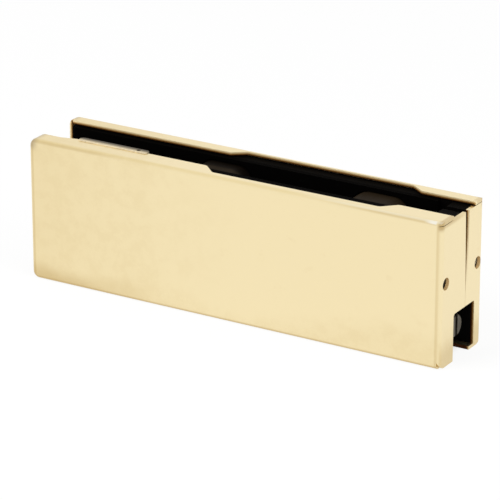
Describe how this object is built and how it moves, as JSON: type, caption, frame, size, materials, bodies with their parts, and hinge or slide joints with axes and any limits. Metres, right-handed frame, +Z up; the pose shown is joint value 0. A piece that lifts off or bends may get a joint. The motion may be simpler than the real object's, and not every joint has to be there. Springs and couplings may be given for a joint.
{
  "type": "glass door patch fitting",
  "caption": "Brass bottom patch fitting that clamps the lower corner of a frameless glass door and takes its pivot pin.",
  "frame": {"origin": "middle of the rectangle that the fitting stands on, at its foot", "axes": "+X along the door towards the closed end, +Y through the glass away from the front cover, +Z up"},
  "size_m": [0.164, 0.03, 0.0529],
  "materials": {
    "polished_brass": "satin-polished brass sheet",
    "black_casting": "black coated casting",
    "black_rubber": "matt black rubber",
    "grey_fibre": "light grey fibre",
    "black_plastic": "matt black plastic",
    "zinc_steel": "zinc plated steel",
    "dark_steel": "black oxide steel",
    "bearing_bronze": "plain bearing bronze"
  },
  "bodies": {
    "front_half": {"front_cover": "polished_brass", "front_clamp_plate": "black_casting", "front_gasket": "black_rubber", "packing_strip": "grey_fibre", "edge_pad": "black_plastic", "cover_screw_front": "polished_brass", "clamp_washer_left": "zinc_steel", "clamp_washer_right": "zinc_steel"},
    "rear_half": {"rear_cover": "polished_brass", "rear_clamp_plate": "black_casting", "rear_gasket": "black_rubber", "boss_sleeve_left": "black_plastic", "boss_sleeve_right": "black_plastic", "cover_screw_rear": "polished_brass"},
    "bolt_left": {"clamp_bolt_left": "zinc_steel"},
    "bolt_right": {"clamp_bolt_right": "zinc_steel"},
    "insert": {"pivot_insert": "dark_steel", "pivot_bush": "bearing_bronze"},
    "adjuster_left": {"insert_screw_left": "dark_steel"},
    "adjuster_right": {"insert_screw_right": "dark_steel"}
  },
  "joints": [
    {"name": "bolt_left_turn", "type": "hinge", "parent": "front_half", "child": "bolt_left", "pos_m": [-0.0145, 0, 0.0378], "axis": [0, -1, 0], "range_deg": [-30, 1110]},
    {"name": "bolt_right_turn", "type": "hinge", "parent": "front_half", "child": "bolt_right", "pos_m": [0.047, 0, 0.0378], "axis": [0, -1, 0], "range_deg": [-30, 1110]},
    {"name": "rear_half_slide", "type": "slide", "parent": "front_half", "child": "rear_half", "axis": [0, 1, 0], "range_m": [0, 0.003]},
    {"name": "insert_slide", "type": "slide", "parent": "front_half", "child": "insert", "axis": [1, 0, 0], "range_m": [-0.003, 0.003]},
    {"name": "adjuster_right_turn", "type": "hinge", "parent": "insert", "child": "adjuster_right", "pos_m": [0.06, 0.0012, 0.0102], "axis": [1, 0, 0], "range_deg": [-900, 900]},
    {"name": "adjuster_left_turn", "type": "hinge", "parent": "insert", "child": "adjuster_left", "pos_m": [-0.006, 0.0012, 0.0102], "axis": [1, 0, 0], "range_deg": [-900, 900]}
  ],
  "couplings": [
    {"joint": "bolt_left_turn", "follows": "rear_half_slide", "rad_per_m": 6283.2},
    {"joint": "bolt_right_turn", "follows": "rear_half_slide", "rad_per_m": 6283.2},
    {"joint": "adjuster_right_turn", "follows": "insert_slide", "rad_per_m": 5026.6},
    {"joint": "adjuster_left_turn", "follows": "insert_slide", "rad_per_m": 5026.6}
  ]
}
